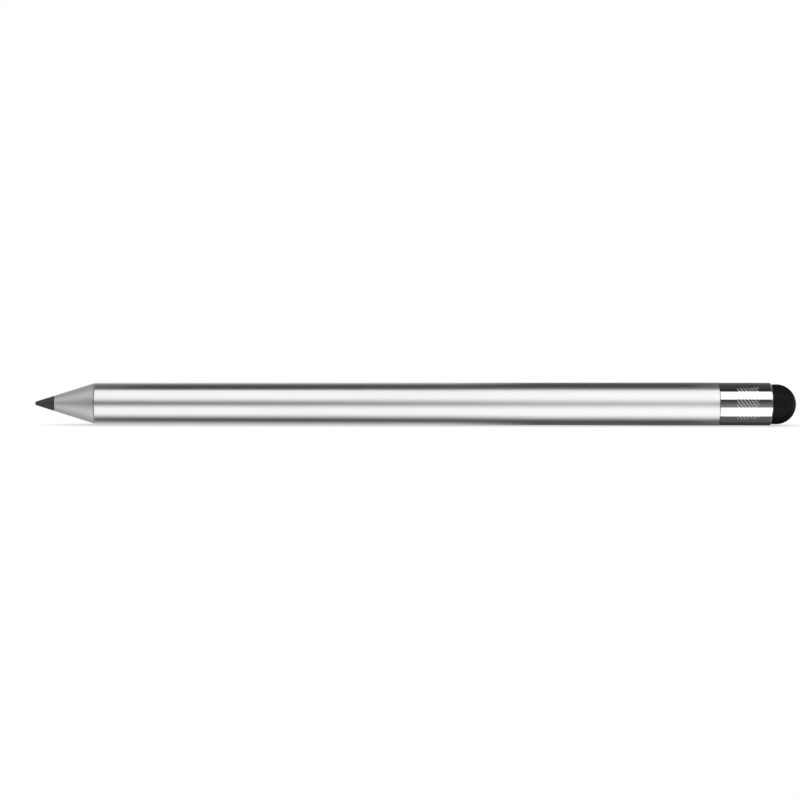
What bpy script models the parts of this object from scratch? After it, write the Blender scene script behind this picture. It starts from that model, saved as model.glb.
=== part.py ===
"""Two-ended stylus pen: a polished tapered barrel with a push-in point in a screw-in nose cone at one end
and a soft conductive dome in a screw-in knurled ferrule at the other.

The pen lies along X with its point at -X. A station is the distance from the point along the pen's axis.
Round pieces are profiles of (station, radius) points, turned about that axis.
"""

import math

import bmesh
import bpy

MM = 0.001

# Driving stations, read along the pen from the point to the dome
OVERALL_LENGTH = 127.0 * MM
NIB_END = 3.25 * MM
NOSE_END = 10.08 * MM
BARREL_END = 114.08 * MM
FERRULE_END = 122.85 * MM

# Driving radii
NIB_BASE_R = 1.29 * MM
BARREL_FRONT_R = 3.435 * MM
BARREL_REAR_R = 3.585 * MM
FERRULE_R = 3.56 * MM
DOME_R = 3.285 * MM

# Walls, seams, fits and broken edges
BARREL_WALL = 0.45 * MM
DOME_WALL = 0.85 * MM
SEAM = 0.07 * MM
PRESS_GAP = 0.03 * MM
RUNNING_GAP = 0.05 * MM
EDGE = 0.08 * MM

# The screw thread that both ends share
THREAD_PITCH = 0.8 * MM
THREAD_TURNS = 5
THREAD_ROOT_R = 1.85 * MM
THREAD_CREST_R = 2.2 * MM
THREAD_ROOT_WIDTH = 0.5 * MM
THREAD_CREST_WIDTH = 0.15 * MM
THREAD_CLEARANCE = 0.1 * MM
THREAD_STEPS = 16
THREAD_FADE_STEPS = 8

# The friction ring behind each screw-in end, and the bush that the end screws into
RING_SECTION_R = 0.35 * MM
RING_R = THREAD_ROOT_R + RUNNING_GAP / 2 + RING_SECTION_R
RING_SPACE = 2 * RING_SECTION_R + RUNNING_GAP
RECESS_R = RING_R + RING_SECTION_R + RUNNING_GAP
BUSH_INSET = 0.18 * MM
BUSH_LENGTH = 5.6 * MM
STUD_LENGTH = 5.6 * MM
THREAD_LEAD = 0.4 * MM

# The nib's shank and the sleeve that grips it
SHANK_R = 0.88 * MM
SHANK_LENGTH = 6.4 * MM
SLEEVE_INNER_R = SHANK_R + RUNNING_GAP
SLEEVE_OUTER_R = 1.32 * MM
SLEEVE_START = 4.25 * MM
SLEEVE_LENGTH = 6.0 * MM

# The core that carries the dome
FLANGE_THICKNESS = 1.45 * MM
POST_R = 1.7 * MM
POST_END = 121.6 * MM
POST_END_R = 1.4 * MM
BARB_R = 2.15 * MM
BARB_START = 119.6 * MM
BARB_LENGTH = 0.8 * MM
DOME_BASE = 117.2 * MM
DOME_LIP_R = 1.95 * MM
DOME_LIP_LENGTH = 1.2 * MM

# The ferrule, with grooves wrapped round it at 45 degrees in one band
FERRULE_BORE_R = DOME_R + PRESS_GAP
FERRULE_CHAMFER_LENGTH = 0.35 * MM
FERRULE_CHAMFER_DEPTH = 0.16 * MM
KNURL_START = 116.92 * MM
KNURL_END = 120.92 * MM
KNURL_GROOVES = 36
KNURL_CREST_R = FERRULE_R - 0.035 * MM
KNURL_ROOT_R = FERRULE_R - 0.1 * MM
KNURL_STEPS = 6

# Facets of every round piece. A flat lies underneath, so the pen rests on a narrow face and not on an edge.
SEGMENTS = 32
RING_SECTION_SEGMENTS = 8
HALF_FACET = math.pi / SEGMENTS
AXIS_HEIGHT = BARREL_REAR_R * math.cos(HALF_FACET)
ROUND_STEPS = 7

# Values that follow from the sizes above
NOSE_ANGLE = math.atan2(BARREL_FRONT_R - NIB_BASE_R, NOSE_END - NIB_END)
NIB_BALL_R = (NIB_BASE_R / math.tan(NOSE_ANGLE) - NIB_END) / (1 / math.sin(NOSE_ANGLE) - 1)
NOSE_SHOULDER = NOSE_END - SEAM
TIP_SHOULDER = BARREL_END + SEAM
WELD_DISTANCE = 0.0005 * MM
CUT_WELD_DISTANCE = 0.004 * MM


def nose_radius(station):
    """The nib and the nose cone share one taper."""
    return NIB_BASE_R + (station - NIB_END) * math.tan(NOSE_ANGLE)


def bore_radius(station):
    """The barrel tapers evenly, and its bore tapers with it."""
    share = (station - NOSE_END) / (BARREL_END - NOSE_END)
    return BARREL_FRONT_R + share * (BARREL_REAR_R - BARREL_FRONT_R) - BARREL_WALL


def arc(centre, radius, start_degrees, end_degrees):
    """Profile points round a point of the axis. 180 degrees faces the nib's end, 90 faces outwards."""
    points = []
    for step in range(ROUND_STEPS + 1):
        angle = math.radians(start_degrees + (end_degrees - start_degrees) * step / ROUND_STEPS)
        points.append((centre + radius * math.cos(angle), radius * math.sin(angle)))
    return points


def clear_scene():
    for obj in list(bpy.data.objects):
        bpy.data.objects.remove(obj)


def add_collection(name):
    collection = bpy.data.collections.new(name)
    bpy.context.scene.collection.children.link(collection)
    return collection


def add_axis():
    """The empty on the pen's centre line, at the point's station, that every piece hangs from."""
    axis = bpy.data.objects.new("pen_axis", None)
    PARTS.objects.link(axis)
    axis.location = (-OVERALL_LENGTH / 2, 0, AXIS_HEIGHT)
    axis.rotation_euler.x = HALF_FACET
    return axis


def add_material(name, colour, roughness, metallic):
    material = bpy.data.materials.new(name)
    material.use_nodes = True
    shader = material.node_tree.nodes["Principled BSDF"]
    shader.inputs["Base Color"].default_value = (*colour, 1)
    shader.inputs["Roughness"].default_value = roughness
    shader.inputs["Metallic"].default_value = metallic
    return material


def swept_mesh(points, closed, rise=0.0, angle=2 * math.pi, steps=SEGMENTS, turns=1):
    """The closed mesh that a chain of points leaves as it turns about X, rising along X if it is told to."""
    count = len(points)
    edges = [(i, i + 1) for i in range(count - 1)]
    if closed:
        edges.append((count - 1, 0))
    chain = bpy.data.meshes.new("chain")
    chain.from_pydata(points, edges, [])
    obj = bpy.data.objects.new("chain", chain)
    PARTS.objects.link(obj)
    screw = obj.modifiers.new("turn", "SCREW")
    screw.axis = "X"
    screw.angle = angle
    screw.screw_offset = rise
    screw.iterations = turns
    screw.steps = screw.render_steps = steps
    screw.use_merge_vertices = rise == 0
    screw.merge_threshold = WELD_DISTANCE
    graph = bpy.context.evaluated_depsgraph_get()
    mesh = bpy.data.meshes.new_from_object(obj.evaluated_get(graph))
    bpy.data.objects.remove(obj)
    close_mesh(mesh)
    return mesh


def close_mesh(mesh):
    """Weld a swept mesh, cap its open ends, turn its faces outwards and shade it smooth between edges."""
    shape = bmesh.new()
    shape.from_mesh(mesh)
    bmesh.ops.remove_doubles(shape, verts=shape.verts, dist=WELD_DISTANCE)
    bmesh.ops.holes_fill(shape, edges=shape.edges)
    bmesh.ops.recalc_face_normals(shape, faces=shape.faces)
    shape.to_mesh(mesh)
    shape.free()
    mesh.shade_smooth()
    mesh.set_sharp_from_angle(angle=math.radians(30))


def place(name, mesh, station, material):
    """A piece with its origin on the pen's axis."""
    obj = bpy.data.objects.new(name, mesh)
    PARTS.objects.link(obj)
    mesh.materials.append(material)
    obj.parent = AXIS
    obj.location.x = station
    return obj


def place_helper(name, mesh, station):
    """A shape that is only cut from a piece or joined to one."""
    obj = bpy.data.objects.new(name, mesh)
    HELPERS.objects.link(obj)
    obj.parent = AXIS
    obj.location.x = station
    obj.hide_render = True
    obj.display_type = "WIRE"
    return obj


def turned_mesh(profile):
    """A profile that starts and ends on the axis is turned as it is, and any other is closed first."""
    origin = profile[0][0]
    on_axis = max(profile[0][1], profile[-1][1]) < WELD_DISTANCE
    points = [(station - origin, radius, 0) for station, radius in profile]
    return swept_mesh(points, closed=not on_axis)


def turned(name, profile, material):
    return place(name, turned_mesh(profile), profile[0][0], material)


def combine(obj, operation, helper):
    boolean = obj.modifiers.new(helper.name, "BOOLEAN")
    boolean.operation = operation
    boolean.object = helper


def weld_cuts(obj):
    """Join the points that cuts leave a few thousandths of a millimetre apart."""
    weld = obj.modifiers.new("weld", "WELD")
    weld.merge_threshold = CUT_WELD_DISTANCE


def thread_helper(name, station, turns, grown=0.0):
    """A right-hand helical ridge of trapezoid section. Grown by a clearance, it is the groove of a nut."""
    slope = (THREAD_ROOT_WIDTH - THREAD_CREST_WIDTH) / (THREAD_CREST_R - THREAD_ROOT_R) / 2
    foot_r = THREAD_ROOT_R - 2 * THREAD_CLEARANCE
    crest_r = THREAD_CREST_R + grown
    foot = THREAD_ROOT_WIDTH / 2 + slope * (THREAD_ROOT_R - foot_r) + grown
    crest = foot - slope * (crest_r - foot_r)
    outline = [(-foot, foot_r, 0), (-crest, crest_r, 0), (crest, crest_r, 0), (foot, foot_r, 0)]
    mesh = swept_mesh(outline, True, rise=THREAD_PITCH, steps=THREAD_STEPS, turns=turns)
    return place_helper(name, mesh, station)


def add_stud_thread(stud, station):
    """The ridge sinks into its stud over the first and last half turn, as a cut thread runs out."""
    ridge = thread_helper(stud.name + "_thread", station, THREAD_TURNS)
    last = THREAD_TURNS * THREAD_STEPS
    sunk_r = THREAD_ROOT_R - THREAD_CLEARANCE
    for vertex in ridge.data.vertices:
        step = vertex.index * (last + 1) // len(ridge.data.vertices)
        share = min(1, step / THREAD_FADE_STEPS, (last - step) / THREAD_FADE_STEPS)
        radius = math.hypot(vertex.co.y, vertex.co.z)
        if radius > sunk_r:
            faded = sunk_r + share * (radius - sunk_r)
            vertex.co.y *= faded / radius
            vertex.co.z *= faded / radius
    combine(stud, "UNION", ridge)
    weld_cuts(stud)


def make_bush(name, mouth, inwards, thread_start):
    """A brass bush pressed into one end of the barrel, with a recess for the friction ring and a nut's thread
    in step with the stud's. inwards is 1 at the front end and -1 at the rear end."""
    face = mouth + inwards * BUSH_INSET
    floor = mouth - inwards * SEAM + inwards * RING_SPACE
    end = face + inwards * BUSH_LENGTH
    thread_bore = THREAD_ROOT_R + THREAD_CLEARANCE
    profile = [
        (face, bore_radius(face) - PRESS_GAP),
        (end, bore_radius(end) - PRESS_GAP),
        (end, thread_bore),
        (floor, thread_bore),
        (floor, RECESS_R),
        (face, RECESS_R),
    ]
    bush = turned(name, profile, BRASS)
    turns_before = math.ceil((thread_start - min(floor, end)) / THREAD_PITCH) + 1
    turns_after = math.ceil((max(floor, end) - thread_start) / THREAD_PITCH) + 1
    groove_start = thread_start - turns_before * THREAD_PITCH
    groove = thread_helper(name + "_groove", groove_start, turns_before + turns_after, THREAD_CLEARANCE)
    combine(bush, "DIFFERENCE", groove)
    weld_cuts(bush)


def make_friction_ring(name, shoulder, inwards):
    """A rubber ring on the neck between a screw-in end's shoulder and the floor of the bush's recess."""
    bpy.ops.mesh.primitive_torus_add(
        major_radius=RING_R,
        minor_radius=RING_SECTION_R,
        major_segments=SEGMENTS,
        minor_segments=RING_SECTION_SEGMENTS,
    )
    torus = bpy.context.active_object
    mesh = torus.data
    bpy.data.objects.remove(torus)
    mesh.shade_smooth()
    ring = place(name, mesh, shoulder + inwards * RING_SPACE / 2, SOFT_RUBBER)
    ring.rotation_euler.y = math.pi / 2


def make_barrel():
    profile = [
        (NOSE_END, BARREL_FRONT_R - EDGE),
        (NOSE_END + EDGE, BARREL_FRONT_R),
        (BARREL_END - EDGE, BARREL_REAR_R),
        (BARREL_END, BARREL_REAR_R - EDGE),
        (BARREL_END, bore_radius(BARREL_END)),
        (NOSE_END, bore_radius(NOSE_END)),
    ]
    turned("barrel", profile, POLISHED_METAL)


def make_nose_cone(thread_start):
    sleeve_bore = SLEEVE_OUTER_R + PRESS_GAP
    stud_end = NOSE_SHOULDER + STUD_LENGTH
    profile = [
        (NIB_END, NIB_BASE_R - EDGE),
        (NIB_END + EDGE, nose_radius(NIB_END + EDGE)),
        (NOSE_SHOULDER - EDGE, nose_radius(NOSE_SHOULDER - EDGE)),
        (NOSE_SHOULDER, nose_radius(NOSE_SHOULDER) - EDGE),
        (NOSE_SHOULDER, THREAD_ROOT_R),
        (stud_end - EDGE, THREAD_ROOT_R),
        (stud_end, THREAD_ROOT_R - EDGE),
        (stud_end, sleeve_bore),
        (SLEEVE_START - PRESS_GAP, sleeve_bore),
        (SLEEVE_START - PRESS_GAP, SLEEVE_INNER_R),
        (NIB_END, SLEEVE_INNER_R),
    ]
    cone = turned("nose_cone", profile, SATIN_METAL)
    add_stud_thread(cone, thread_start)


def make_nib_sleeve():
    end = SLEEVE_START + SLEEVE_LENGTH
    profile = [
        (SLEEVE_START, SLEEVE_OUTER_R),
        (end, SLEEVE_OUTER_R),
        (end, SLEEVE_INNER_R),
        (SLEEVE_START, SLEEVE_INNER_R),
    ]
    turned("nib_sleeve", profile, BRASS)


def make_nib():
    """The point ends in a small ball that runs smoothly into the cone's taper."""
    base = NIB_END - PRESS_GAP
    shank_end = base + SHANK_LENGTH
    profile = arc(NIB_BALL_R, NIB_BALL_R, 180, 90 + math.degrees(NOSE_ANGLE))
    profile += [
        (base, nose_radius(base)),
        (base, SHANK_R),
        (shank_end - EDGE, SHANK_R),
        (shank_end, SHANK_R - EDGE),
        (shank_end, 0),
    ]
    turned("point_nib", profile, DARK_PLASTIC)


def make_tip_core(thread_start):
    """A brass core with a stud for the barrel, a flange for the ferrule and a barbed post for the dome."""
    stud_end = TIP_SHOULDER - STUD_LENGTH
    flange_r = FERRULE_BORE_R - PRESS_GAP
    flange_back = TIP_SHOULDER + FLANGE_THICKNESS
    profile = [
        (stud_end, 0),
        (stud_end, THREAD_ROOT_R - EDGE),
        (stud_end + EDGE, THREAD_ROOT_R),
        (TIP_SHOULDER, THREAD_ROOT_R),
        (TIP_SHOULDER, flange_r),
        (flange_back, flange_r),
        (flange_back, POST_R),
        (BARB_START, POST_R),
        (BARB_START, BARB_R),
        (BARB_START + BARB_LENGTH, BARB_R),
        (POST_END, POST_END_R),
        (POST_END, 0),
    ]
    core = turned("tip_core", profile, BRASS)
    add_stud_thread(core, thread_start)


def make_ferrule():
    """A solid blank with a recessed band takes the grooved sleeve, and the bore is cut through both."""
    recess_r = KNURL_ROOT_R - PRESS_GAP
    profile = [
        (TIP_SHOULDER, 0),
        (TIP_SHOULDER, FERRULE_R - EDGE),
        (TIP_SHOULDER + EDGE, FERRULE_R),
        (KNURL_START, FERRULE_R),
        (KNURL_START, recess_r),
        (KNURL_END, recess_r),
        (KNURL_END, FERRULE_R),
        (FERRULE_END - FERRULE_CHAMFER_LENGTH, FERRULE_R),
        (FERRULE_END, FERRULE_R - FERRULE_CHAMFER_DEPTH),
        (FERRULE_END, 0),
    ]
    ferrule = turned("ferrule", profile, CHROME)
    combine(ferrule, "UNION", knurl_helper())
    bore = [
        (TIP_SHOULDER - EDGE, 0),
        (TIP_SHOULDER - EDGE, FERRULE_BORE_R),
        (FERRULE_END + EDGE, FERRULE_BORE_R),
        (FERRULE_END + EDGE, 0),
    ]
    combine(ferrule, "DIFFERENCE", place_helper("ferrule_bore", turned_mesh(bore), bore[0][0]))
    weld_cuts(ferrule)


def knurl_helper():
    """A toothed outline twisted along the axis, so that its grooves climb at 45 degrees. It runs into the walls
    of the recess at both ends."""
    start = KNURL_START - PRESS_GAP
    length = KNURL_END - KNURL_START + 2 * PRESS_GAP
    outline = []
    for corner in range(2 * KNURL_GROOVES):
        angle = math.pi * corner / KNURL_GROOVES
        radius = KNURL_ROOT_R if corner % 2 else KNURL_CREST_R
        outline.append((0, radius * math.cos(angle), radius * math.sin(angle)))
    mesh = swept_mesh(outline, True, rise=length, angle=length / FERRULE_R, steps=KNURL_STEPS)
    return place_helper("ferrule_knurl", mesh, start)


def make_dome():
    """A hollow rubber cap whose inner lip sits behind the core's barb."""
    centre = OVERALL_LENGTH - DOME_R
    cavity_r = DOME_R - DOME_WALL
    lip_end = DOME_BASE + DOME_LIP_LENGTH
    profile = arc(centre, DOME_R, 0, 90)
    profile += [
        (DOME_BASE, DOME_R),
        (DOME_BASE, DOME_LIP_R),
        (lip_end, DOME_LIP_R),
        (lip_end, cavity_r),
    ]
    profile += arc(centre, cavity_r, 90, 0)
    turned("rubber_dome", profile, SOFT_RUBBER)


clear_scene()
PARTS = add_collection("stylus_pen")
HELPERS = add_collection("stylus_pen_helpers")
AXIS = add_axis()

POLISHED_METAL = add_material("polished_aluminium", (0.82, 0.82, 0.83), 0.18, 1.0)
SATIN_METAL = add_material("satin_silver", (0.5, 0.5, 0.51), 0.42, 0.9)
CHROME = add_material("chrome", (0.78, 0.78, 0.79), 0.05, 1.0)
BRASS = add_material("brass", (0.72, 0.55, 0.25), 0.28, 1.0)
DARK_PLASTIC = add_material("dark_acetal", (0.05, 0.05, 0.052), 0.4, 0.0)
SOFT_RUBBER = add_material("black_rubber", (0.015, 0.014, 0.014), 0.6, 0.0)

NOSE_THREAD = NOSE_SHOULDER + RING_SPACE + THREAD_LEAD
TIP_THREAD = TIP_SHOULDER - RING_SPACE - THREAD_LEAD - THREAD_TURNS * THREAD_PITCH

make_barrel()
make_bush("front_bush", NOSE_END, 1, NOSE_THREAD)
make_bush("rear_bush", BARREL_END, -1, TIP_THREAD)
make_nose_cone(NOSE_THREAD)
make_nib_sleeve()
make_nib()
make_friction_ring("nose_o_ring", NOSE_SHOULDER, 1)
make_ferrule()
make_tip_core(TIP_THREAD)
make_friction_ring("tip_o_ring", TIP_SHOULDER, -1)
make_dome()
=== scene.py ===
"""Looks of the stylus pen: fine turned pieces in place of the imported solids, their finishes, and a studio.

Sizes of the pen are in millimetres along and round its axis, as in its construction, and become metres when a
piece is placed. A station is the distance from the point along the axis. Sizes of the studio are in metres.
"""

import math

import bmesh
import bpy
from mathutils import Matrix, Vector


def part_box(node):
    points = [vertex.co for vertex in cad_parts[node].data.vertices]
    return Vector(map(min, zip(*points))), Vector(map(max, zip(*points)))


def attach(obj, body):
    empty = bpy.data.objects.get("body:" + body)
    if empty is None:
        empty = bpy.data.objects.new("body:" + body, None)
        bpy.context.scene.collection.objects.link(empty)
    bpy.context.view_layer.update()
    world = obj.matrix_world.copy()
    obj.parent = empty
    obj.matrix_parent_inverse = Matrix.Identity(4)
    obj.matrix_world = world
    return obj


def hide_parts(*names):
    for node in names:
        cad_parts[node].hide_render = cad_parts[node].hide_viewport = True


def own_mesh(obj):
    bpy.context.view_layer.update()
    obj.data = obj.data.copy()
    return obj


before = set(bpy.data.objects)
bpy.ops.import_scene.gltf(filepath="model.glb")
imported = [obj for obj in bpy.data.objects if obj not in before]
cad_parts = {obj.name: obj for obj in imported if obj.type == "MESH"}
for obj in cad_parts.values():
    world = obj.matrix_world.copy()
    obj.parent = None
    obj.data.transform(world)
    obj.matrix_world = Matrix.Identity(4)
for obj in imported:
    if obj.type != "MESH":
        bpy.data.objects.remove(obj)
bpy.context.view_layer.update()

MM = 0.001

# Stations and radii that the pieces share with the solids
OVERALL_LENGTH = 127.0
NIB_END = 3.25
NOSE_END = 10.08
BARREL_END = 114.08
FERRULE_END = 122.85
NIB_BASE_R = 1.29
BARREL_FRONT_R = 3.435
BARREL_REAR_R = 3.585
FERRULE_R = 3.56
DOME_R = 3.285
BARREL_WALL = 0.45
DOME_WALL = 0.85
SEAM = 0.07
PRESS_GAP = 0.03
RUNNING_GAP = 0.05
NOSE_SHOULDER = NOSE_END - SEAM
NOSE_BACK = NOSE_END - SEAM / 2
TIP_SHOULDER = BARREL_END + SEAM

# Screw threads with their friction rings, bushes and studs
PITCH = 0.8
THREAD_TURNS = 5
THREAD_ROOT_R = 1.85
THREAD_CREST_R = 2.2
THREAD_CLEARANCE = 0.1
NUT_SLOPE = 0.5
NUT_LAND = 0.3
RIDGE_FOOT = 0.25
RIDGE_CREST = 0.075
RIDGE_EDGE = 0.02
RING_SECTION_R = 0.35
RING_R = THREAD_ROOT_R + RUNNING_GAP / 2 + RING_SECTION_R
RING_SPACE = 2 * RING_SECTION_R + RUNNING_GAP
RECESS_R = RING_R + RING_SECTION_R + RUNNING_GAP
BUSH_INSET = 0.18
BUSH_LENGTH = 5.6
STUD_LENGTH = 5.6
STEP_MARGIN = 0.1
THREAD_LEAD = 0.4
NOSE_THREAD = NOSE_SHOULDER + RING_SPACE + THREAD_LEAD
TIP_THREAD = TIP_SHOULDER - RING_SPACE - THREAD_LEAD - THREAD_TURNS * PITCH

# Where the helical surface of a stud ends: its shift from the friction ring's space towards the nib, the
# plain ends of the studs, the gaps across which it is joined to the turned surface, and the turns over which
# its ridge grows
THREAD_SHIFT = 0.05
NOSE_STUD_PLAIN = 0.2
TIP_STUD_PLAIN = 0.15
THREAD_JOIN = 0.05
TIP_STUD_JOIN = 0.02
FADE_TURNS = 0.5

# The nib's shank and sleeve, and the core that carries the dome
SHANK_R = 0.88
SHANK_LENGTH = 6.4
SLEEVE_INNER_R = SHANK_R + RUNNING_GAP
SLEEVE_OUTER_R = 1.32
SLEEVE_START = 4.25
SLEEVE_LENGTH = 6.0
FLANGE_THICKNESS = 1.45
POST_R = 1.7
POST_END = 121.6
POST_END_R = 1.4
BARB_R = 2.15
BARB_START = 119.6
BARB_LENGTH = 0.8
DOME_BASE = 117.2
DOME_LIP_R = 1.95
DOME_LIP_LENGTH = 1.2
DOME_NECK = FERRULE_END + SEAM / 2
DOME_SWELL = 0.05
DOME_SAG = 0.03

# The ferrule and its band of slanted grooves, narrow cuts between plain lands. The twist is in grooves.
FERRULE_BORE_R = DOME_R + PRESS_GAP
FERRULE_MOUTH_R = DOME_R + DOME_SWELL + DOME_SAG
FERRULE_MOUTH_DEPTH = 0.8
FERRULE_CHAMFER_LENGTH = 0.24
FERRULE_CHAMFER_DEPTH = 0.17
CHAMFER_LEAN = math.atan2(FERRULE_CHAMFER_DEPTH, FERRULE_CHAMFER_LENGTH)
KNURL_START = 116.92
KNURL_END = 120.6
KNURL_GROOVES = 30
KNURL_TWIST = 6.1
KNURL_RINGS = 40
GROOVE_SHARE = 0.13
GROOVE_SLOPE = math.radians(42)
GROOVE_STEPS = 6
LAND_STEPS = 3

# Radii of rounded edges
KEEN_EDGE = 0.02
CRISP_EDGE = 0.03
CHAMFER_EDGE = 0.04
PLAIN_EDGE = 0.05
BRASS_EDGE = 0.06
SEAT_EDGE = 0.08
EASED_EDGE = 0.1
LEAD_EDGE = 0.12
LIP_EDGE = 0.15
CONE_BACK_EDGE = 0.16
CONE_FRONT_EDGE = 0.24

# Mesh fineness. A rounded edge takes up at most a share of each side that it joins, and a run over a certain
# length gets a short face, its support, at each end.
SEGMENTS = 192
SMALL_SEGMENTS = 96
THREAD_STEPS = 96
SPARE_TURNS = 2
RING_STEPS = 24
FILLET_STEPS = 6
FILLET_SHARE = 0.45
NIB_STEPS = 14
DOME_STEPS = 36
LONGEST_FACE = 2.6
SUPPORT = 0.05
SUPPORTED_RUN = 4 * SUPPORT
ON_AXIS = 1e-6
CUT_TOLERANCE = 1e-5
BRIDGE_SLACK = 0.01
SHARP_ANGLE = math.radians(38)
KNURL_SHARP_ANGLE = math.radians(20)

# The slope that the cone and the nib share, and the ball that ends the nib
NOSE_SLOPE = (BARREL_FRONT_R - NIB_BASE_R) / (NOSE_END - NIB_END)
NOSE_ANGLE = math.atan(NOSE_SLOPE)
NIB_BALL_R = (NIB_BASE_R / NOSE_SLOPE - NIB_END) / (1 / math.sin(NOSE_ANGLE) - 1)

# The pen's axis in the frame
POINT_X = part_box("point_nib")[0].x
AXIS_Z = (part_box("barrel")[0].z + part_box("barrel")[1].z) / 2
TO_FRAME = Matrix.Translation((POINT_X, 0, AXIS_Z)) @ Matrix.Scale(MM, 4)


# Profiles and meshes

def nose_radius(station):
    return NIB_BASE_R + (station - NIB_END) * NOSE_SLOPE


def bore_radius(station):
    share = (station - NOSE_END) / (BARREL_END - NOSE_END)
    return BARREL_FRONT_R + share * (BARREL_REAR_R - BARREL_FRONT_R) - BARREL_WALL


def arc(centre, radius, start_degrees, end_degrees, steps):
    """Profile points round a point of the axis. 180 degrees faces the nib's end, 90 faces outwards."""
    points = []
    for step in range(steps + 1):
        angle = math.radians(start_degrees + (end_degrees - start_degrees) * step / steps)
        points.append((centre + radius * math.cos(angle), max(0.0, radius * math.sin(angle))))
    return points


def fillet(before, corner, after, radius):
    """The points of a round edge in place of a corner."""
    here = Vector(corner)
    to_before = Vector(before) - here
    to_after = Vector(after) - here
    half = to_before.angle(to_after) / 2
    reach = min(radius / math.tan(half), FILLET_SHARE * to_before.length, FILLET_SHARE * to_after.length)
    to_before.normalize()
    to_after.normalize()
    middle = here + (to_before + to_after).normalized() * reach / math.cos(half)
    start = here + to_before * reach - middle
    end = here + to_after * reach - middle
    turn = start.angle(end)
    points = []
    for step in range(FILLET_STEPS + 1):
        share = step / FILLET_STEPS
        spoke = start * math.sin((1 - share) * turn) + end * math.sin(share * turn)
        points.append(tuple(middle + spoke / math.sin(turn)))
    return points


def rounded(corners, closed):
    """A profile whose corners (station, radius, edge radius) are rounded, with short faces beside each edge
    so that long faces stay evenly shaded."""
    count = len(corners)
    points = []
    for index, (station, radius, edge) in enumerate(corners):
        inner = closed or 0 < index < count - 1
        if edge and inner:
            before = corners[index - 1][:2]
            after = corners[(index + 1) % count][:2]
            points += fillet(before, (station, radius), after, edge)
        else:
            points.append((station, radius))
    return divided(points, closed)


def divided(points, closed):
    """A profile with its long straight runs cut into shorter ones."""
    count = len(points)
    out = []
    for index in range(count if closed else count - 1):
        start = Vector(points[index])
        end = Vector(points[(index + 1) % count])
        run = end - start
        out.append(tuple(start))
        if run.length > SUPPORTED_RUN:
            step = run.normalized() * SUPPORT
            first, last = start + step, end - step
            parts = max(1, math.ceil((last - first).length / LONGEST_FACE))
            out += [tuple(first.lerp(last, part / parts)) for part in range(parts + 1)]
    if not closed:
        out.append(points[-1])
    return out


def even_angles(segments):
    return [2 * math.pi * index / segments for index in range(segments)]


def add_ring(shape, station, radius, angles, cut=None):
    """Points round the axis, or one point where the radius is nothing. cut is a row of depths, repeated round
    the ring, by which the points are lowered."""
    if radius < ON_AXIS:
        return [shape.verts.new((station, 0, 0))]
    ring = []
    for index, angle in enumerate(angles):
        here = radius - (cut[index % len(cut)] if cut else 0)
        ring.append(shape.verts.new((station, here * math.cos(angle), here * math.sin(angle))))
    return ring


def join_rings(shape, first, second):
    count = max(len(first), len(second))
    for index in range(count):
        following = (index + 1) % count
        corners = []
        if len(first) > 1:
            corners += [first[index], first[following]]
        else:
            corners.append(first[0])
        if len(second) > 1:
            corners += [second[following], second[index]]
        else:
            corners.append(second[0])
        shape.faces.new(corners)


def add_turned(shape, points, segments, closed):
    angles = even_angles(segments)
    rings = [add_ring(shape, station, radius, angles) for station, radius in points]
    for first, second in zip(rings, rings[1:]):
        join_rings(shape, first, second)
    if closed:
        join_rings(shape, rings[-1], rings[0])


def add_thread(shape, centre, offsets, radii, start, end, fade):
    """A helical surface with one profile per turn, cut off square at both ends. fade takes the turn that a
    point is in and gives the share of the ridge's height that stands there."""
    count = len(offsets)
    first = math.floor(THREAD_STEPS * ((start - centre) / PITCH - SPARE_TURNS))
    last = math.ceil(THREAD_STEPS * ((end - centre) / PITCH + SPARE_TURNS))
    columns = []
    for step in range(first, last + 1):
        angle = 2 * math.pi * step / THREAD_STEPS
        height = fade(step / THREAD_STEPS)
        column = []
        for offset, radius in zip(offsets, radii):
            here = radii[0] + (radius - radii[0]) * height
            station = centre + offset + PITCH * step / THREAD_STEPS
            column.append(shape.verts.new((station, here * math.cos(angle), here * math.sin(angle))))
        columns.append(column)
    for here, beside in zip(columns, columns[1:]):
        for index in range(count - 1):
            shape.faces.new((here[index], beside[index], beside[index + 1], here[index + 1]))
    for index in range(len(columns) - 1 - THREAD_STEPS):
        here, beside = columns[index], columns[index + 1]
        above, beyond = columns[index + THREAD_STEPS], columns[index + THREAD_STEPS + 1]
        shape.faces.new((here[-1], beside[-1], beyond[0], above[0]))
    for station, cut in ((start, {"clear_inner": True}), (end, {"clear_outer": True})):
        geometry = shape.verts[:] + shape.edges[:] + shape.faces[:]
        plane = {"plane_co": (station, 0, 0), "plane_no": (1, 0, 0)}
        bmesh.ops.bisect_plane(shape, geom=geometry, dist=CUT_TOLERANCE, **plane, **cut)


def bridge(shape, start, end):
    """Joins the two open loops that lie at two stations, or at one."""
    low = start - BRIDGE_SLACK
    high = end + BRIDGE_SLACK
    edges = [
        edge for edge in shape.edges
        if edge.is_boundary and all(low <= vert.co.x <= high for vert in edge.verts)
    ]
    bmesh.ops.bridge_loops(shape, edges=edges)


def place(name, shape, material, body, node, slot, sharp=SHARP_ANGLE):
    """Turns a shape into a piece that stands for its solid and rides on its body. Edges over the sharp angle
    aren't smoothed."""
    bmesh.ops.recalc_face_normals(shape, faces=shape.faces)
    mesh = bpy.data.meshes.new(name)
    shape.to_mesh(mesh)
    shape.free()
    mesh.transform(TO_FRAME)
    mesh.shade_smooth()
    mesh.set_sharp_from_angle(angle=sharp)
    mesh.materials.append(material)
    piece = bpy.data.objects.new(name, mesh)
    bpy.context.scene.collection.objects.link(piece)
    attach(piece, body)
    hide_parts(node)
    return piece


def turned_piece(name, corners, segments, closed, *where):
    shape = bmesh.new()
    add_turned(shape, rounded(corners, closed), segments, closed)
    place(name, shape, *where)


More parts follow.
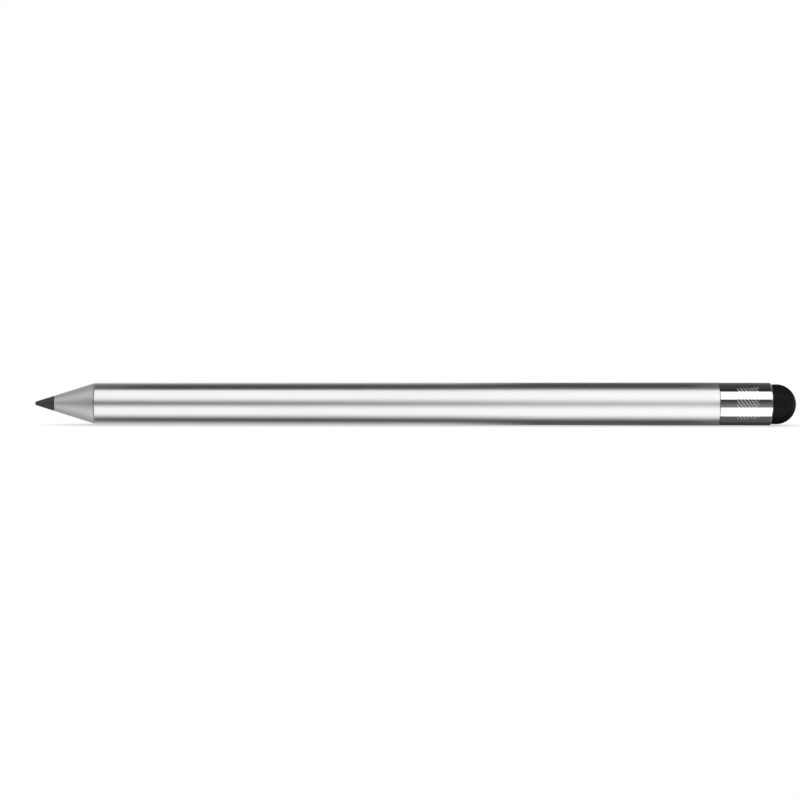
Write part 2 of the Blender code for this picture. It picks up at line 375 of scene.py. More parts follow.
# Materials. Most of a noise's values lie between the low and the high one.

NOISE_LOW = 0.3
NOISE_HIGH = 0.7
NOISE_DETAIL = 3.0
RINGS_DISTORTION = 0.6
RINGS_DETAIL = 1.0


class Finish:
    """A Principled material and the nodes that vary it, laid out in the piece's own space in metres."""

    def __init__(self, name, metallic, specular=0.5):
        self.material = bpy.data.materials.new(name)
        self.material.use_nodes = True
        self.tree = self.material.node_tree
        self.shader = self.tree.nodes["Principled BSDF"]
        self.shader.inputs["Metallic"].default_value = metallic
        self.shader.inputs["Specular IOR Level"].default_value = specular

    def node(self, kind, **values):
        made = self.tree.nodes.new(kind)
        for key, value in values.items():
            made.inputs[key].default_value = value
        return made

    def link(self, output, target):
        self.tree.links.new(output, target)

    def own_space(self):
        return self.node("ShaderNodeTexCoord").outputs["Object"]

    def noise(self, along, across, detail=NOISE_DETAIL):
        """Noise with its own number of features per metre along the axis and across it."""
        mapping = self.node("ShaderNodeMapping", Scale=(along, across, across))
        texture = self.node("ShaderNodeTexNoise", Scale=1.0, Detail=detail)
        self.link(self.own_space(), mapping.inputs["Vector"])
        self.link(mapping.outputs["Vector"], texture.inputs["Vector"])
        return texture.outputs["Fac"]

    def rings(self, per_metre):
        """Fine turning marks round the axis."""
        texture = self.node(
            "ShaderNodeTexWave", Scale=per_metre, Distortion=RINGS_DISTORTION, Detail=RINGS_DETAIL)
        texture.bands_direction = "X"
        self.link(self.own_space(), texture.inputs["Vector"])
        return texture.outputs["Fac"]

    def along(self, start, end):
        """0 to 1 between two stations."""
        split = self.node("ShaderNodeSeparateXYZ")
        share = self.node("ShaderNodeMapRange")
        share.inputs["From Min"].default_value = POINT_X + start * MM
        share.inputs["From Max"].default_value = POINT_X + end * MM
        self.link(self.own_space(), split.inputs["Vector"])
        self.link(split.outputs["X"], share.inputs["Value"])
        return share.outputs["Result"]

    def spread(self, value, low, high):
        """Maps the low and the high end of a noise, or of another share, to two values."""
        spread = self.node("ShaderNodeMapRange")
        spread.inputs["From Min"].default_value = NOISE_LOW
        spread.inputs["From Max"].default_value = NOISE_HIGH
        spread.inputs["To Min"].default_value = low
        spread.inputs["To Max"].default_value = high
        self.link(value, spread.inputs["Value"])
        return spread.outputs["Result"]

    def vary_roughness(self, value, low, high):
        self.link(self.spread(value, low, high), self.shader.inputs["Roughness"])

    def vary_colour(self, value, dark, light):
        ramp = self.node("ShaderNodeValToRGB")
        ramp.color_ramp.elements[0].position = NOISE_LOW
        ramp.color_ramp.elements[1].position = NOISE_HIGH
        ramp.color_ramp.elements[0].color = (*dark, 1)
        ramp.color_ramp.elements[1].color = (*light, 1)
        self.link(value, ramp.inputs["Fac"])
        self.link(ramp.outputs["Color"], self.shader.inputs["Base Color"])

    def bump(self, height, depth):
        """Relief of a depth in metres, over the relief that is there already."""
        bump = self.node("ShaderNodeBump", Strength=1.0, Distance=depth)
        self.link(height, bump.inputs["Height"])
        normal = self.shader.inputs["Normal"]
        if normal.is_linked:
            self.link(normal.links[0].from_socket, bump.inputs["Normal"])
        self.link(bump.outputs["Normal"], normal)


def polished_aluminium():
    finish = Finish("polished_aluminium_looks", metallic=1.0)
    brushing = finish.noise(along=24, across=3200)
    clouds = finish.noise(along=60, across=160)
    finish.vary_roughness(finish.along(NOSE_END, BARREL_END), low=0.28, high=0.34)
    finish.vary_colour(clouds, dark=(0.868, 0.86, 0.85), light=(0.908, 0.9, 0.89))
    finish.bump(brushing, depth=4e-7)
    return finish.material


def satin_silver():
    finish = Finish("satin_silver_looks", metallic=0.9)
    flakes = finish.noise(along=11000, across=11000, detail=2.0)
    finish.vary_roughness(flakes, low=0.46, high=0.54)
    finish.vary_colour(flakes, dark=(0.48, 0.48, 0.483), light=(0.56, 0.56, 0.563))
    finish.bump(finish.rings(per_metre=4200), depth=5e-7)
    finish.bump(flakes, depth=1.2e-6)
    return finish.material


def chrome():
    finish = Finish("chrome_looks", metallic=1.0)
    smudges = finish.noise(along=420, across=420, detail=4.0)
    finish.vary_roughness(smudges, low=0.035, high=0.06)
    finish.vary_colour(smudges, dark=(0.9, 0.9, 0.903), light=(0.94, 0.94, 0.94))
    return finish.material


def brass():
    finish = Finish("brass_looks", metallic=1.0)
    patina = finish.noise(along=500, across=500, detail=4.0)
    finish.vary_roughness(patina, low=0.2, high=0.34)
    finish.vary_colour(patina, dark=(0.62, 0.42, 0.16), light=(0.8, 0.6, 0.28))
    finish.bump(finish.rings(per_metre=5200), depth=1.2e-6)
    return finish.material


def dark_acetal():
    finish = Finish("dark_acetal_looks", metallic=0.0, specular=0.4)
    grain = finish.noise(along=9000, across=9000, detail=2.0)
    wear = finish.noise(along=1400, across=1400)
    finish.vary_roughness(wear, low=0.34, high=0.46)
    finish.vary_colour(grain, dark=(0.02, 0.02, 0.021), light=(0.03, 0.03, 0.031))
    finish.bump(grain, depth=2e-6)
    return finish.material


def black_rubber():
    finish = Finish("black_rubber_looks", metallic=0.0, specular=0.1)
    grain = finish.noise(along=12000, across=12000, detail=2.0)
    wear = finish.noise(along=900, across=900)
    finish.vary_roughness(wear, low=0.55, high=0.68)
    finish.vary_colour(grain, dark=(0.0044, 0.0034, 0.0032), light=(0.0088, 0.0068, 0.0064))
    finish.bump(grain, depth=3e-6)
    return finish.material


ALUMINIUM = polished_aluminium()
SILVER = satin_silver()
CHROME = chrome()
BRASS = brass()
ACETAL = dark_acetal()
RUBBER = black_rubber()


# Pieces

def make_barrel():
    corners = [
        (NOSE_END, BARREL_FRONT_R, PLAIN_EDGE),
        (BARREL_END, BARREL_REAR_R, PLAIN_EDGE),
        (BARREL_END, bore_radius(BARREL_END), PLAIN_EDGE),
        (NOSE_END, bore_radius(NOSE_END), PLAIN_EDGE),
    ]
    where = (ALUMINIUM, "barrel_body", "barrel", "polished_aluminium")
    turned_piece("barrel_tube", corners, SEGMENTS, True, *where)


def nut_profile():
    """Offsets and radii of a nut's groove over one turn, from the middle of one land to the next."""
    groove_r = THREAD_CREST_R + THREAD_CLEARANCE
    bore_r = THREAD_ROOT_R + THREAD_CLEARANCE
    groove = NUT_LAND - NUT_SLOPE * (groove_r - bore_r)
    offsets = [-PITCH / 2, -NUT_LAND, -groove, groove, NUT_LAND]
    return offsets, [bore_r, bore_r, groove_r, groove_r, bore_r]


def stud_profile():
    """Offsets and radii of a stud's ridge over one turn, with its corners broken."""
    outer = RIDGE_CREST + RIDGE_EDGE
    inner = RIDGE_CREST - RIDGE_EDGE
    offsets = [-PITCH / 2, -RIDGE_FOOT, -outer, -inner, inner, outer, RIDGE_FOOT]
    root, crest = THREAD_ROOT_R, THREAD_CREST_R
    return offsets, [root, root, crest - RIDGE_EDGE, crest, crest, crest - RIDGE_EDGE, root]


def stud_fade(turn):
    """The ridge grows out of its stud at its start and sinks back into it at its end."""
    return max(0.0, min(1.0, turn / FADE_TURNS, (THREAD_TURNS - turn) / FADE_TURNS))


def make_bush(name, node, mouth, inwards, thread):
    face = mouth + inwards * BUSH_INSET
    floor = mouth - inwards * SEAM + inwards * RING_SPACE
    end = face + inwards * BUSH_LENGTH
    shape = bmesh.new()
    add_thread(shape, thread, *nut_profile(), min(floor, end), max(floor, end), lambda turn: 1.0)
    corners = [
        (floor, RECESS_R, 0),
        (face, RECESS_R, BRASS_EDGE),
        (face, bore_radius(face) - PRESS_GAP, BRASS_EDGE),
        (end, bore_radius(end) - PRESS_GAP, 0),
    ]
    add_turned(shape, rounded(corners, False), SMALL_SEGMENTS, False)
    bridge(shape, floor, floor)
    bridge(shape, end, end)
    place(name, shape, BRASS, "barrel_body", node, "brass")


def make_friction_ring(name, node, body, shoulder, inwards):
    centre = shoulder + inwards * RING_SPACE / 2
    section = []
    for angle in even_angles(RING_STEPS):
        section.append((centre + RING_SECTION_R * math.cos(angle), RING_R + RING_SECTION_R * math.sin(angle)))
    shape = bmesh.new()
    add_turned(shape, section, SMALL_SEGMENTS, True)
    place(name, shape, RUBBER, body, node, "black_rubber")


def make_nose_cone():
    sleeve_bore = SLEEVE_OUTER_R + PRESS_GAP
    step_r = RECESS_R + STEP_MARGIN
    stud_end = NOSE_SHOULDER + STUD_LENGTH
    thread_from = NOSE_SHOULDER + RING_SPACE - THREAD_SHIFT
    thread_to = stud_end - NOSE_STUD_PLAIN
    shape = bmesh.new()
    add_thread(shape, NOSE_THREAD, *stud_profile(), thread_from, thread_to, stud_fade)
    corners = [
        (thread_from - THREAD_JOIN, THREAD_ROOT_R, 0),
        (NOSE_SHOULDER, THREAD_ROOT_R, PLAIN_EDGE),
        (NOSE_SHOULDER, step_r, 0),
        (NOSE_BACK, step_r, 0),
        (NOSE_BACK, nose_radius(NOSE_BACK), CONE_BACK_EDGE),
        (NIB_END, NIB_BASE_R, CONE_FRONT_EDGE),
        (NIB_END, SLEEVE_INNER_R, CRISP_EDGE),
        (SLEEVE_START - PRESS_GAP, SLEEVE_INNER_R, 0),
        (SLEEVE_START - PRESS_GAP, sleeve_bore, 0),
        (stud_end, sleeve_bore, PLAIN_EDGE),
        (stud_end, THREAD_ROOT_R, EASED_EDGE),
        (thread_to + THREAD_JOIN, THREAD_ROOT_R, 0),
    ]
    add_turned(shape, rounded(corners, False), SEGMENTS, False)
    bridge(shape, thread_from - THREAD_JOIN, thread_from)
    bridge(shape, thread_to, thread_to + THREAD_JOIN)
    place("nose_cone_shell", shape, SILVER, "nose", "nose_cone", "satin_silver")


def make_nib_sleeve():
    end = SLEEVE_START + SLEEVE_LENGTH
    corners = [
        (SLEEVE_START, SLEEVE_OUTER_R, BRASS_EDGE),
        (end, SLEEVE_OUTER_R, BRASS_EDGE),
        (end, SLEEVE_INNER_R, PLAIN_EDGE),
        (SLEEVE_START, SLEEVE_INNER_R, PLAIN_EDGE),
    ]
    turned_piece("nib_sleeve_tube", corners, SMALL_SEGMENTS, True, BRASS, "nose", "nib_sleeve", "brass")


def make_nib():
    base = NIB_END - PRESS_GAP
    shank_end = base + SHANK_LENGTH
    ball = arc(NIB_BALL_R, NIB_BALL_R, 180, 90 + math.degrees(NOSE_ANGLE), NIB_STEPS)
    corners = [(*point, 0) for point in ball]
    corners += [
        (base, nose_radius(base), SEAT_EDGE),
        (base, SHANK_R, 0),
        (shank_end, SHANK_R, LEAD_EDGE),
        (shank_end, 0, 0),
    ]
    where = (ACETAL, "nib", "point_nib", "dark_acetal")
    turned_piece("point_nib_tip", corners, SEGMENTS, False, *where)


def make_tip_core():
    stud_end = TIP_SHOULDER - STUD_LENGTH
    flange_r = FERRULE_BORE_R - PRESS_GAP
    flange_back = TIP_SHOULDER + FLANGE_THICKNESS
    thread_from = stud_end + TIP_STUD_PLAIN
    thread_to = TIP_SHOULDER - RING_SPACE - THREAD_SHIFT
    shape = bmesh.new()
    add_thread(shape, TIP_THREAD, *stud_profile(), thread_from, thread_to, stud_fade)
    front = [
        (stud_end, 0, 0),
        (stud_end, THREAD_ROOT_R, SEAT_EDGE),
        (thread_from - TIP_STUD_JOIN, THREAD_ROOT_R, 0),
    ]
    back = [
        (thread_to + THREAD_JOIN, THREAD_ROOT_R, 0),
        (TIP_SHOULDER, THREAD_ROOT_R, PLAIN_EDGE),
        (TIP_SHOULDER, flange_r, BRASS_EDGE),
        (flange_back, flange_r, BRASS_EDGE),
        (flange_back, POST_R, PLAIN_EDGE),
        (BARB_START, POST_R, CRISP_EDGE),
        (BARB_START, BARB_R, PLAIN_EDGE),
        (BARB_START + BARB_LENGTH, BARB_R, EASED_EDGE),
        (POST_END, POST_END_R, LEAD_EDGE),
        (POST_END, 0, 0),
    ]
    for corners in (front, back):
        add_turned(shape, rounded(corners, False), SMALL_SEGMENTS, False)
    bridge(shape, thread_from - TIP_STUD_JOIN, thread_from)
    bridge(shape, thread_to, thread_to + THREAD_JOIN)
    place("tip_core_stud", shape, BRASS, "tip", "tip_core", "brass")


def knurl_profile():
    """Shares of one pitch round the ferrule and the depth at each: a plain land, then a groove with a round
    bottom."""
    land = 1 - GROOVE_SHARE
    half_width = GROOVE_SHARE * math.pi * FERRULE_R / KNURL_GROOVES
    bend = half_width / math.sin(GROOVE_SLOPE)
    shares = [land * step / LAND_STEPS for step in range(LAND_STEPS)]
    depths = [0.0] * LAND_STEPS
    for step in range(GROOVE_STEPS):
        across = half_width * (2 * step / GROOVE_STEPS - 1)
        shares.append(land + GROOVE_SHARE * step / GROOVE_STEPS)
        depths.append(math.sqrt(bend ** 2 - across ** 2) - bend * math.cos(GROOVE_SLOPE))
    return shares, depths


def ferrule_angles(station, shares):
    """Points round the ferrule at one station, as the grooves need them. They turn further round along the
    band, and keep that turn behind it."""
    along = min(1.0, max(0.0, (station - KNURL_START) / (KNURL_END - KNURL_START)))
    pitch = 2 * math.pi / KNURL_GROOVES
    twist = KNURL_TWIST * along
    return [pitch * (groove + share + twist) for groove in range(KNURL_GROOVES) for share in shares]


def make_ferrule():
    corners = [
        (KNURL_START, FERRULE_R, 0),
        (TIP_SHOULDER, FERRULE_R, CRISP_EDGE),
        (TIP_SHOULDER, FERRULE_BORE_R, CRISP_EDGE),
        (FERRULE_END - FERRULE_MOUTH_DEPTH, FERRULE_BORE_R, 0),
        (FERRULE_END - FERRULE_MOUTH_DEPTH, FERRULE_MOUTH_R, 0),
        (FERRULE_END, FERRULE_MOUTH_R, KEEN_EDGE),
        (FERRULE_END, FERRULE_R - FERRULE_CHAMFER_DEPTH, CHAMFER_EDGE),
        (FERRULE_END - FERRULE_CHAMFER_LENGTH, FERRULE_R, PLAIN_EDGE),
        (KNURL_END, FERRULE_R, 0),
    ]
    shares, depths = knurl_profile()
    shape = bmesh.new()
    rings = []
    for station, radius in rounded(corners, False):
        rings.append(add_ring(shape, station, radius, ferrule_angles(station, shares)))
    for step in range(KNURL_RINGS, -1, -1):
        station = KNURL_START + SUPPORT + (KNURL_END - KNURL_START - 2 * SUPPORT) * step / KNURL_RINGS
        rings.append(add_ring(shape, station, FERRULE_R, ferrule_angles(station, shares), depths))
    for first, second in zip(rings, rings[1:] + rings[:1]):
        join_rings(shape, first, second)
    place("knurled_ferrule", shape, CHROME, "tip", "ferrule", "chrome", KNURL_SHARP_ANGLE)


def make_dome():
    """The soft dome, which swells and sags a little where it leaves the ferrule."""
    bulb_r = DOME_R + DOME_SWELL
    bulb_centre = OVERALL_LENGTH + DOME_SWELL / 2 - bulb_r
    cavity_centre = OVERALL_LENGTH - DOME_R
    cavity_r = DOME_R - DOME_WALL
    lip_end = DOME_BASE + DOME_LIP_LENGTH
    corners = [(*point, 0) for point in arc(bulb_centre, bulb_r, 0, 90, DOME_STEPS)]
    corners += [
        (DOME_NECK, DOME_R + DOME_SWELL / 2, KEEN_EDGE),
        (DOME_NECK, DOME_R, 0),
        (DOME_BASE, DOME_R, LIP_EDGE),
        (DOME_BASE, DOME_LIP_R, LIP_EDGE),
        (lip_end, DOME_LIP_R, LIP_EDGE),
        (lip_end, cavity_r, EASED_EDGE),
    ]
    corners += [(*point, 0) for point in arc(cavity_centre, cavity_r, 90, 0, DOME_STEPS)]
    shape = bmesh.new()
    add_turned(shape, rounded(corners, False), SEGMENTS, False)
    for vert in shape.verts:
        if vert.co.x > DOME_NECK:
            vert.co.z -= DOME_SAG
    dome = place("soft_dome", shape, RUBBER, "dome", "rubber_dome", "black_rubber")
    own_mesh(dome)


make_barrel()
make_bush("front_threaded_bush", "front_bush", NOSE_END, 1, NOSE_THREAD)
make_bush("rear_threaded_bush", "rear_bush", BARREL_END, -1, TIP_THREAD)
make_friction_ring("nose_friction_ring", "nose_o_ring", "nose_ring", NOSE_SHOULDER, 1)
make_nose_cone()
make_nib_sleeve()
make_nib()
make_friction_ring("tip_friction_ring", "tip_o_ring", "tip_ring", TIP_SHOULDER, -1)
make_tip_core()
make_ferrule()
make_dome()


# Studio. The softbox reaches from one elevation to another, in degrees.

FLOOR_DROP = BARREL_REAR_R * MM - AXIS_Z
FLOOR_REACH = 3.0
FLOOR_GREY = 0.85
SHADOW_REACH = 0.0035
SHADOW_DARKEST = 0.58
SHADOW_SAMPLES = 8
AMBIENT = 0.75
SOFTBOX_RADIANCE = 1.0
SOFTBOX_DISTANCE = 0.3
SOFTBOX_LENGTH = 1.0
SOFTBOX_FROM = 24.0
SOFTBOX_TO = 72.0

# The camera, placed as in the photo
CAMERA_ELEVATION = math.radians(3.0)
CAMERA_DISTANCE = 0.58
CAMERA_SENSOR = 36
CAMERA_LENS = 156.33
CAMERA_CLIP = 0.01
CAMERA_X = -0.00258
CAMERA_LIFT = 0.000618
CAMERA_ROLL = 0.00108
CAMERA_BACK = Vector((0, -math.cos(CAMERA_ELEVATION), math.sin(CAMERA_ELEVATION)))
CAMERA_UP = Vector((0, math.sin(CAMERA_ELEVATION), math.cos(CAMERA_ELEVATION)))
CAMERA_PLACE = Vector((CAMERA_X, 0, AXIS_Z)) + CAMERA_UP * CAMERA_LIFT + CAMERA_BACK * CAMERA_DISTANCE

# The light tent round the pen, which only reflections see: two bright cards with a darker slot between them,
# under a dark ceiling and over a dark foot. The cone, the barrel's front and rear, the ferrule and its
# chamfer have their own stops from top to bottom: the height at which the camera sees a stop mirrored, from
# 1 at the upper edge to -1 at the lower edge, and the radiance there.
TENT_RADIUS = 0.008
TENT_LIFT = 0.00002
TENT_FLOOR = TENT_LIFT - FLOOR_DROP
TENT_ROWS = 500
TENT_PLAIN = ((1, 1.1), (-1, 1.1))
TENT_DARK = ((1, 0), (-1, 0))
TENT_CONE = (
    (1, 0.8), (0.9, 0.46), (0.69, 0.4),
    (0.68, 1.07), (0.38, 1.07), (0.02, 0), (-0.31, 1.1), (-0.65, 1.1),
    (-0.85, 0.64), (-1, 0.6),
)
TENT_FRONT = (
    (1, 0.85), (0.92, 0.22), (0.84, 0.04), (0.652, 0.06),
    (0.645, 1.05), (0.26, 1.05), (0.01, 0.06), (-0.22, 1.05), (-0.5, 1.05),
    (-0.74, 0.1), (-0.84, 0.1), (-1, 0.6),
)
TENT_REAR = (
    (1, 0.35), (0.92, 0.08), (0.84, 0.01), (0.657, 0.1),
    (0.65, 1.08), (0.23, 1.1), (0, 0.35), (-0.21, 1.1), (-0.53, 1.08),
    (-0.77, 0.09), (-0.84, 0.07), (-1, 0.12),
)
TENT_TIP = (
    (1, 0.2), (0.9, 0.06), (0.583, 0.024),
    (0.573, 1.8), (0.231, 1.8), (0.221, 0.05), (0.1, 0.065), (-0.169, 0.25), (-0.179, 1.8), (-0.559, 1.8),
    (-0.569, 0.12), (-0.83, 0.085), (-0.87, 0.04), (-1, 0.04),
)
TENT_CHAMFER = (
    (1, 0.6), (0.8, 0.2), (0.588, 0.12),
    (0.578, 1), (0.235, 1), (0.225, 0.1), (-0.169, 0.18), (-0.179, 1), (-0.57, 1),
    (-0.58, 0.2), (-1, 0.6),
)

# The radiance of the foot behind the pen, the height within which the barrel's slot lies, and the least
# radiance beside the barrel's seams outside the slot
TENT_BACK = 0.6
SLOT_HEIGHT = 0.35
SEAM_LEAST = 0.13

# Stations at which the tent's light changes. The ferrule's reaches past its end, and the chamfer's follows.
TENT_END = 1200.0
PLAIN_END = -21.5
CONE_START = -9.5
FRONT_END = 18.5
MIDDLE_START = 69.5
MIDDLE_END = 83.5
REAR_START = 108.5
TIP_END = FERRULE_END + 10.0
CHAMFER_START = TIP_END + 0.5

# Shares of the way from the pen to the tent: where the walls between sections start, where they stop being
# dark, and where the fin starts
WALL_INNER = 0.01
WALL_DARK = 0.06
FIN_INNER = 0.8


def card_material():
    """Light that each point of a card gives off by itself."""
    material = bpy.data.materials.new("studio_card")
    material.use_nodes = True
    tree = material.node_tree
    tree.nodes.clear()
    glow = tree.nodes.new("ShaderNodeAttribute")
    glow.attribute_name = "radiance"
    emission = tree.nodes.new("ShaderNodeEmission")
    output = tree.nodes.new("ShaderNodeOutputMaterial")
    tree.links.new(glow.outputs["Fac"], emission.inputs["Strength"])
    tree.links.new(emission.outputs["Emission"], output.inputs["Surface"])
    material.cycles.emission_sampling = "NONE"
    return material


def reflected(station, height, reach, lean=0.0):
    """Where the camera's view of a spot on the pen goes after its reflection. height is -1 to 1 across the
    pen, reach is the share of the way from the pen to the tent, and lean is the angle between the surface and
    the axis."""
    rise = math.asin(height) + CAMERA_ELEVATION
    outwards = Vector((0, -math.cos(rise), math.sin(rise)))
    normal = math.cos(lean) * outwards + Vector((math.sin(lean), 0, 0))
    radius = FERRULE_R * MM
    start = outwards * radius
    spot = Vector((POINT_X + station * MM, start.y, AXIS_Z + start.z))
    view = (CAMERA_PLACE - spot).normalized()
    ray = 2 * view.dot(normal) * normal - view
    across = ray.y ** 2 + ray.z ** 2
    along = start.y * ray.y + start.z * ray.z
    length = (math.sqrt(along ** 2 + across * (TENT_RADIUS ** 2 - radius ** 2)) - along) / across
    if ray.z < 0:
        length = min(length, (TENT_FLOOR - spot.z) / ray.z)
    return spot + ray * length * reach


def mixed(first, second, share):
    return tuple((1 - share) * a + share * b for a, b in zip(first, second))


def barrel_stops(rims, slot):
    """Stops between those of the barrel's front and rear, with shares of their own for the rims and for the
    slot between the two bright cards."""
    stops = []
    for front, rear in zip(TENT_FRONT, TENT_REAR):
        share = slot if abs(front[0]) < SLOT_HEIGHT else rims
        stops.append(mixed(front, rear, share))
    return stops


def seam_stops(stops):
    """Stops beside a seam of the barrel, where the dark parts are lighter, apart from the slot."""
    lighter = []
    for height, radiance in stops:
        least = 0 if abs(height) < SLOT_HEIGHT else SEAM_LEAST
        lighter.append((height, max(radiance, least)))
    return lighter


def radiance_at(stops, height):
    for (upper, first), (lower, second) in zip(stops, stops[1:]):
        if height >= lower:
            return first + (second - first) * (upper - height) / (upper - lower)
    return stops[-1][1]


def tent_heights():
    return [1 - 2 * row / TENT_ROWS for row in range(TENT_ROWS + 1)]


def tent_column(station, stops, reach=1.0, lean=0.0):
    """Points of the tent across the pen, then of its foot behind the pen, each with its radiance. Without a
    lean they lie where reflections from the station go, and with one they lie at the station itself."""
    x = POINT_X + station * MM
    on_pen = min(FERRULE_END, max(NOSE_END, station))
    column = []
    for height in tent_heights():
        point = reflected(on_pen, height, reach, lean)
        point.x = x if lean else point.x + (station - on_pen) * MM
        column.append((point, radiance_at(stops, height)))
    for back in (TENT_RADIUS / 2, TENT_RADIUS):
        column.append((Vector((x, back, TENT_FLOOR)), TENT_BACK))
    return column


def tent_wall(station, stops):
    """Columns from the tent inwards to a seam of the pen, dark beside the seam."""
    return [
        tent_column(station, stops),
        tent_column(station, stops, WALL_DARK),
        tent_column(station, TENT_DARK, WALL_INNER),
    ]


def chamfer_fin():
    """Columns of a fin that stands on the tent where the camera sees it mirrored in the ferrule's chamfer. It
    is edge-on to what the rest of the ferrule mirrors."""
    station = FERRULE_END - FERRULE_CHAMFER_LENGTH / 2
    inner, outer = [], []
    for height in tent_heights():
        radiance = radiance_at(TENT_CHAMFER, height)
        middle = reflected(station, height, (1 + FIN_INNER) / 2, CHAMFER_LEAN)
        for column, reach in ((inner, FIN_INNER), (outer, 1.0)):
            point = reflected(station, height, reach, CHAMFER_LEAN)
            point.x = middle.x
            column.append((point, radiance))
    return [inner, outer]


def tent_sections():
    """The tent along the pen, in sections with walls where they meet, which keep their light apart, seen from
    the side too."""
    cone = [
        tent_column(-TENT_END, TENT_PLAIN),
        tent_column(PLAIN_END, TENT_PLAIN),
        tent_column(CONE_START, TENT_CONE),
        *tent_wall(NOSE_SHOULDER, TENT_CONE),
    ]
    barrel = [
        *reversed(tent_wall(NOSE_END, seam_stops(TENT_FRONT))),
        tent_column(FRONT_END, TENT_FRONT),
        tent_column(MIDDLE_START, barrel_stops(rims=0, slot=0.45)),
        tent_column(MIDDLE_END, barrel_stops(rims=1, slot=0.7)),
        tent_column(REAR_START, TENT_REAR),
        *tent_wall(BARREL_END, seam_stops(TENT_REAR)),
    ]
    tip = [
        *reversed(tent_wall(TIP_SHOULDER, TENT_TIP)),
        tent_column(TIP_END, TENT_TIP),
        tent_column(CHAMFER_START, TENT_CHAMFER, lean=CHAMFER_LEAN),
        tent_column(TENT_END, TENT_CHAMFER, lean=CHAMFER_LEAN),
    ]
    return cone, barrel, tip, chamfer_fin()


def make_tent():
    shape = bmesh.new()
    glow = shape.verts.layers.float.new("radiance")
    for section in tent_sections():
        columns = []
        for column in section:
            verts = []
            for point, radiance in column:
                vert = shape.verts.new(point)
                vert[glow] = radiance
                verts.append(vert)
            columns.append(verts)
        for first, second in zip(columns, columns[1:]):
            for row in range(len(first) - 1):
                shape.faces.new((first[row], first[row + 1], second[row + 1], second[row]))
    mesh = bpy.data.meshes.new("light_tent")
    shape.to_mesh(mesh)
    shape.free()
    mesh.materials.append(card_material())
    tent = bpy.data.objects.new("light_tent", mesh)
    bpy.context.scene.collection.objects.link(tent)
    for ray in ("camera", "diffuse", "transmission", "volume_scatter", "shadow"):
        setattr(tent, "visible_" + ray, False)


def seen_directly(tree):
    """1 for what the camera sees itself, in a reflection or through something, and 0 for diffuse light."""
    path = tree.nodes.new("ShaderNodeLightPath")
    total = None
    for ray in ("Is Camera Ray", "Is Glossy Ray", "Is Transmission Ray"):
        if total is None:
            total = path.outputs[ray]
            continue
        add = tree.nodes.new("ShaderNodeMath")
        add.operation = "ADD"
        add.use_clamp = True
        tree.links.new(total, add.inputs[0])
        tree.links.new(path.outputs[ray], add.inputs[1])
        total = add.outputs["Value"]
    return total


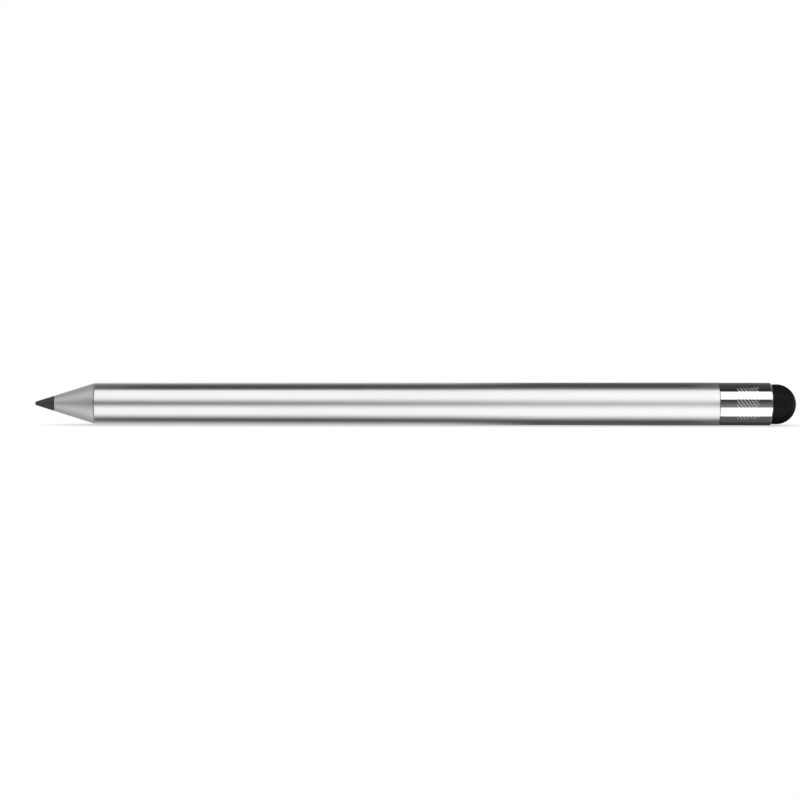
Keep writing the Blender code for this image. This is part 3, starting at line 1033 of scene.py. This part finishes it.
def make_floor():
    """White to the eye, with the pen's soft contact shadow, and a pale diffuse surface to the light."""
    material = bpy.data.materials.new("studio_floor")
    material.use_nodes = True
    tree = material.node_tree
    tree.nodes.clear()
    shadow = tree.nodes.new("ShaderNodeAmbientOcclusion")
    shadow.samples = SHADOW_SAMPLES
    shadow.inputs["Distance"].default_value = SHADOW_REACH
    lift = tree.nodes.new("ShaderNodeMapRange")
    lift.inputs["To Min"].default_value = SHADOW_DARKEST
    white = tree.nodes.new("ShaderNodeEmission")
    pale = tree.nodes.new("ShaderNodeBsdfDiffuse")
    pale.inputs["Color"].default_value = (FLOOR_GREY, FLOOR_GREY, FLOOR_GREY, 1)
    mix = tree.nodes.new("ShaderNodeMixShader")
    output = tree.nodes.new("ShaderNodeOutputMaterial")
    tree.links.new(shadow.outputs["AO"], lift.inputs["Value"])
    tree.links.new(lift.outputs["Result"], white.inputs["Strength"])
    tree.links.new(seen_directly(tree), mix.inputs["Fac"])
    tree.links.new(pale.outputs["BSDF"], mix.inputs[1])
    tree.links.new(white.outputs["Emission"], mix.inputs[2])
    tree.links.new(mix.outputs["Shader"], output.inputs["Surface"])
    material.cycles.emission_sampling = "NONE"
    mesh = bpy.data.meshes.new("studio_floor")
    signs = [(-1, -1), (1, -1), (1, 1), (-1, 1)]
    corners = [(x * FLOOR_REACH, y * FLOOR_REACH, -FLOOR_DROP) for x, y in signs]
    mesh.from_pydata(corners, [], [(0, 1, 2, 3)])
    mesh.materials.append(material)
    floor = bpy.data.objects.new("studio_floor", mesh)
    bpy.context.scene.collection.objects.link(floor)


def make_world():
    """White where it is seen, dimmer as a light."""
    world = bpy.data.worlds.new("studio_world")
    bpy.context.scene.world = world
    world.use_nodes = True
    tree = world.node_tree
    strength = tree.nodes.new("ShaderNodeMapRange")
    strength.inputs["To Min"].default_value = AMBIENT
    strength.inputs["To Max"].default_value = 1.0
    background = tree.nodes["Background"]
    background.inputs["Color"].default_value = (1, 1, 1, 1)
    tree.links.new(seen_directly(tree), strength.inputs["Value"])
    tree.links.new(strength.outputs["Result"], background.inputs["Strength"])
    world.cycles.sampling_method = "NONE"


def make_softbox():
    middle = (SOFTBOX_FROM + SOFTBOX_TO) / 2
    half = math.radians(SOFTBOX_TO - SOFTBOX_FROM) / 2
    direction = math.radians(middle)
    y = -SOFTBOX_DISTANCE * math.cos(direction)
    z = AXIS_Z + SOFTBOX_DISTANCE * math.sin(direction)
    light = bpy.data.lights.new("softbox", "AREA")
    light.shape = "RECTANGLE"
    light.size = SOFTBOX_LENGTH
    light.size_y = 2 * SOFTBOX_DISTANCE * math.tan(half)
    light.energy = SOFTBOX_RADIANCE * math.pi * light.size * light.size_y
    softbox = bpy.data.objects.new("softbox", light)
    softbox.location = (0, y, z)
    softbox.rotation_euler = (math.radians(90 - middle), 0, 0)
    softbox.visible_camera = False
    softbox.visible_glossy = False
    bpy.context.scene.collection.objects.link(softbox)


def make_camera():
    data = bpy.data.cameras.new("photo_camera")
    data.sensor_width = CAMERA_SENSOR
    data.lens = CAMERA_LENS
    data.clip_start = CAMERA_CLIP
    camera = bpy.data.objects.new("photo_camera", data)
    camera.location = CAMERA_PLACE
    tilt = Matrix.Rotation(math.pi / 2 - CAMERA_ELEVATION, 3, "X")
    camera.rotation_euler = (tilt @ Matrix.Rotation(CAMERA_ROLL, 3, "Z")).to_euler()
    bpy.context.scene.collection.objects.link(camera)
    bpy.context.scene.camera = camera


make_floor()
make_world()
make_softbox()
make_tent()
make_camera()
bpy.context.scene.view_settings.view_transform = "Standard"
